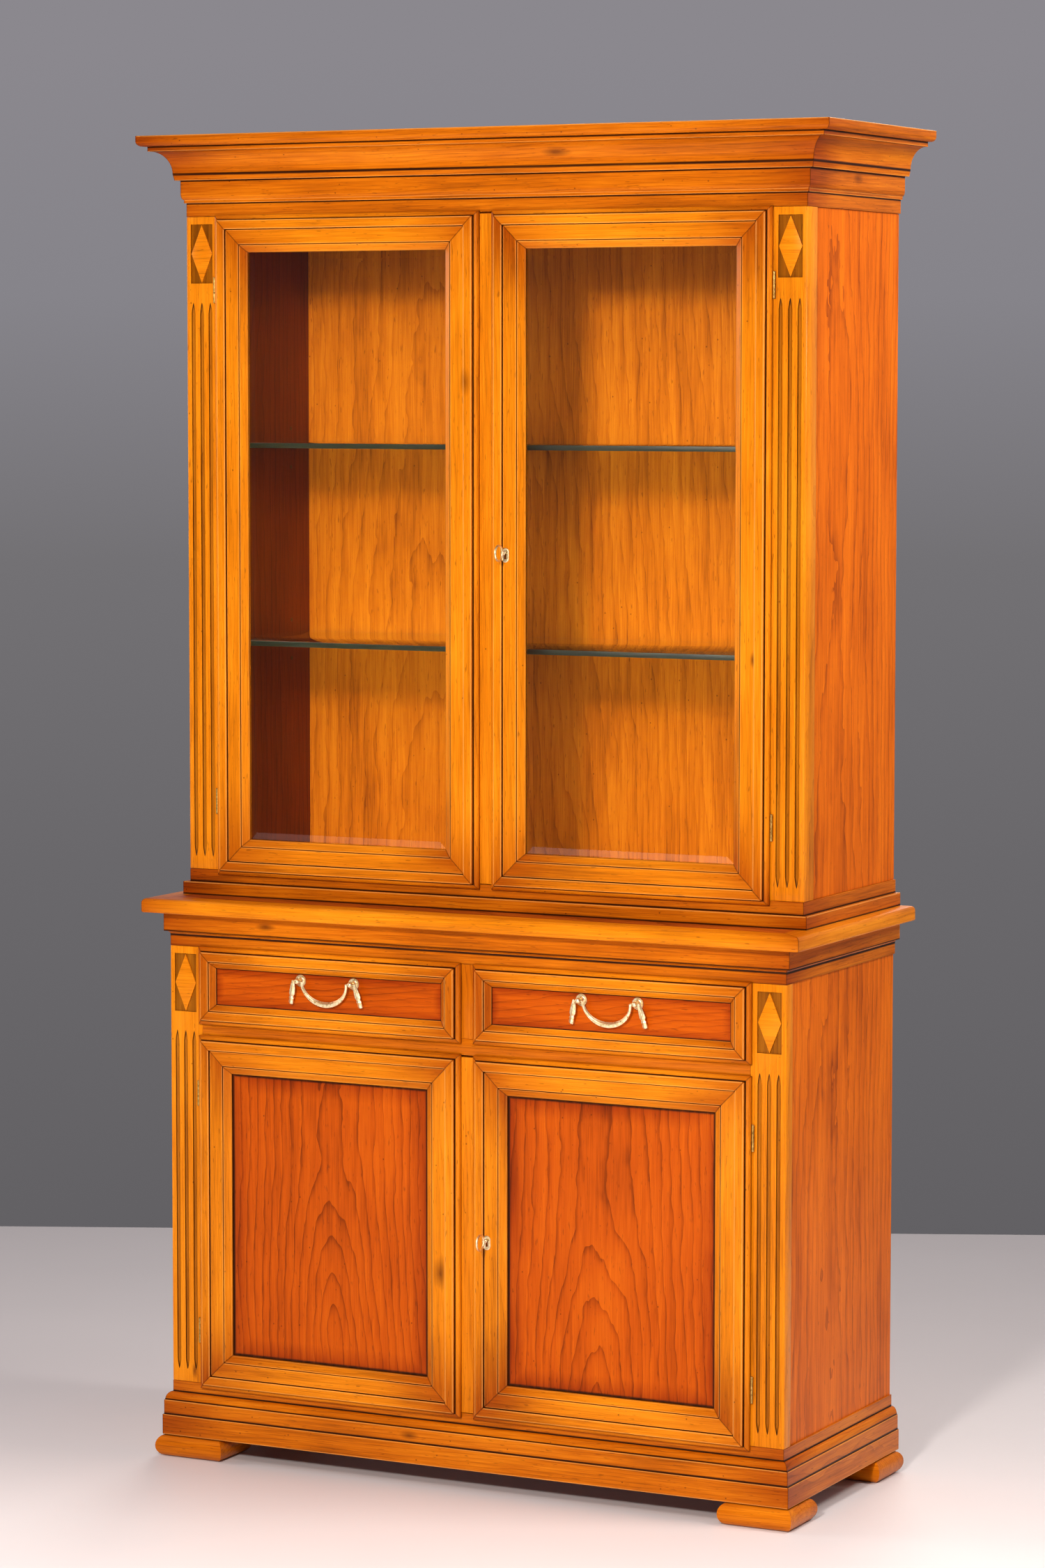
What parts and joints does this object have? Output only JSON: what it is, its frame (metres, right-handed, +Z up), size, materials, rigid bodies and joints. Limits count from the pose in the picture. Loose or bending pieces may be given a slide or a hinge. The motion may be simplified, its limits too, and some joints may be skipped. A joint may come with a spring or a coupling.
{
  "type": "china cabinet",
  "caption": "Two-part china cabinet: glazed doors with glass shelves above a sideboard with drawers and panelled doors, fluted posts, cove cornice and block feet.",
  "frame": {"origin": "middle of the whole cabinet at floor level", "axes": "+Z up, the front faces -Y, +X is to the right of a person facing the front"},
  "size_m": [1.2, 0.4792, 2.13],
  "materials": {
    "cherry": "satin lacquer over honey stain with dark glaze in the quirks",
    "cherry_veneer": "satin lacquer over cathedral-figured veneer",
    "drawer_wood": "plain sanded poplar",
    "clear_glass": "clear polished glass with a green edge",
    "antique_brass": "pale antique brass, rubbed bright on the high spots",
    "lock_steel": "plain steel"
  },
  "bodies": {
    "root": {"foot_front_left": "cherry", "foot_back_left": "cherry", "foot_front_right": "cherry", "foot_back_right": "cherry", "base_moulding": "cherry", "lower_floor": "cherry_veneer", "lower_post_left": "cherry", "lower_side_left": "cherry_veneer", "upper_post_left": "cherry", "upper_side_left": "cherry_veneer", "lower_post_right": "cherry", "lower_side_right": "cherry_veneer", "upper_post_right": "cherry", "upper_side_right": "cherry_veneer", "lower_back": "cherry_veneer", "upper_back": "cherry_veneer", "waist_moulding": "cherry", "worktop": "cherry", "drawer_web": "cherry", "wood_shelf": "cherry_veneer", "subbase_moulding": "cherry", "upper_floor": "cherry_veneer", "upper_top": "cherry_veneer", "cornice": "cherry", "glass_shelf_bottom": "clear_glass", "glass_shelf_top": "clear_glass", "upper_hinge_left_bottom": "antique_brass", "upper_hinge_left_top": "antique_brass", "upper_hinge_right_bottom": "antique_brass", "upper_hinge_right_top": "antique_brass", "lower_hinge_left_bottom": "antique_brass", "lower_hinge_left_top": "antique_brass", "lower_hinge_right_bottom": "antique_brass", "lower_hinge_right_top": "antique_brass"},
    "upper_door_left": {"upper_door_frame_left": "cherry", "door_glass_left": "clear_glass", "upper_strip": "cherry"},
    "upper_door_right": {"upper_door_frame_right": "cherry", "door_glass_right": "clear_glass", "upper_lock_case": "lock_steel"},
    "upper_bolt": {"upper_bolt": "antique_brass"},
    "upper_key": {"upper_key": "antique_brass"},
    "lower_door_left": {"lower_door_frame_left": "cherry", "door_panel_left": "cherry_veneer", "lower_strip": "cherry"},
    "lower_door_right": {"lower_door_frame_right": "cherry", "door_panel_right": "cherry_veneer", "lower_lock_case": "lock_steel"},
    "lower_bolt": {"lower_bolt": "antique_brass"},
    "lower_key": {"lower_key": "antique_brass"},
    "drawer_left": {"drawer_front_left": "cherry", "drawer_box_left": "drawer_wood", "left_pull_post_a": "antique_brass", "left_pull_post_b": "antique_brass"},
    "left_pull": {"left_pull_swag": "antique_brass"},
    "drawer_right": {"drawer_front_right": "cherry", "drawer_box_right": "drawer_wood", "right_pull_post_a": "antique_brass", "right_pull_post_b": "antique_brass"},
    "right_pull": {"right_pull_swag": "antique_brass"}
  },
  "joints": [
    {"name": "upper_door_left_swing", "type": "hinge", "parent": "root", "child": "upper_door_left", "pos_m": [-0.488, -0.1303, 1.47525], "axis": [0, 0, -1], "range_deg": [0, 110]},
    {"name": "upper_door_right_swing", "type": "hinge", "parent": "root", "child": "upper_door_right", "pos_m": [0.488, -0.1303, 1.47525], "axis": [0, 0, 1], "range_deg": [0, 110]},
    {"name": "upper_key_turn", "type": "hinge", "parent": "upper_door_right", "child": "upper_key", "pos_m": [0.0395, -0.1274, 1.47525], "axis": [0, 1, 0], "range_deg": [0, 90]},
    {"name": "upper_bolt_throw", "type": "slide", "parent": "upper_door_right", "child": "upper_bolt", "axis": [-1, 0, 0], "range_m": [0, 0.00785]},
    {"name": "lower_door_left_swing", "type": "hinge", "parent": "root", "child": "lower_door_left", "pos_m": [-0.488, -0.1933, 0.4045], "axis": [0, 0, -1], "range_deg": [0, 110]},
    {"name": "lower_door_right_swing", "type": "hinge", "parent": "root", "child": "lower_door_right", "pos_m": [0.488, -0.1933, 0.4045], "axis": [0, 0, 1], "range_deg": [0, 110]},
    {"name": "lower_key_turn", "type": "hinge", "parent": "lower_door_right", "child": "lower_key", "pos_m": [0.0395, -0.1904, 0.4045], "axis": [0, 1, 0], "range_deg": [0, 90]},
    {"name": "lower_bolt_throw", "type": "slide", "parent": "lower_door_right", "child": "lower_bolt", "axis": [-1, 0, 0], "range_m": [0, 0.00785]},
    {"name": "drawer_left_slide", "type": "slide", "parent": "root", "child": "drawer_left", "axis": [0, -1, 0], "range_m": [0, 0.3]},
    {"name": "left_pull_swing", "type": "hinge", "parent": "drawer_left", "child": "left_pull", "pos_m": [-0.24825, -0.2092, 0.7925], "axis": [-1, 0, 0], "range_deg": [0, 80]},
    {"name": "drawer_right_slide", "type": "slide", "parent": "root", "child": "drawer_right", "axis": [0, -1, 0], "range_m": [0, 0.3]},
    {"name": "right_pull_swing", "type": "hinge", "parent": "drawer_right", "child": "right_pull", "pos_m": [0.24825, -0.2092, 0.7925], "axis": [-1, 0, 0], "range_deg": [0, 80]}
  ],
  "couplings": [
    {"joint": "upper_key_turn", "follows": "upper_bolt_throw", "rad_per_m": 200},
    {"joint": "lower_key_turn", "follows": "lower_bolt_throw", "rad_per_m": 200}
  ]
}
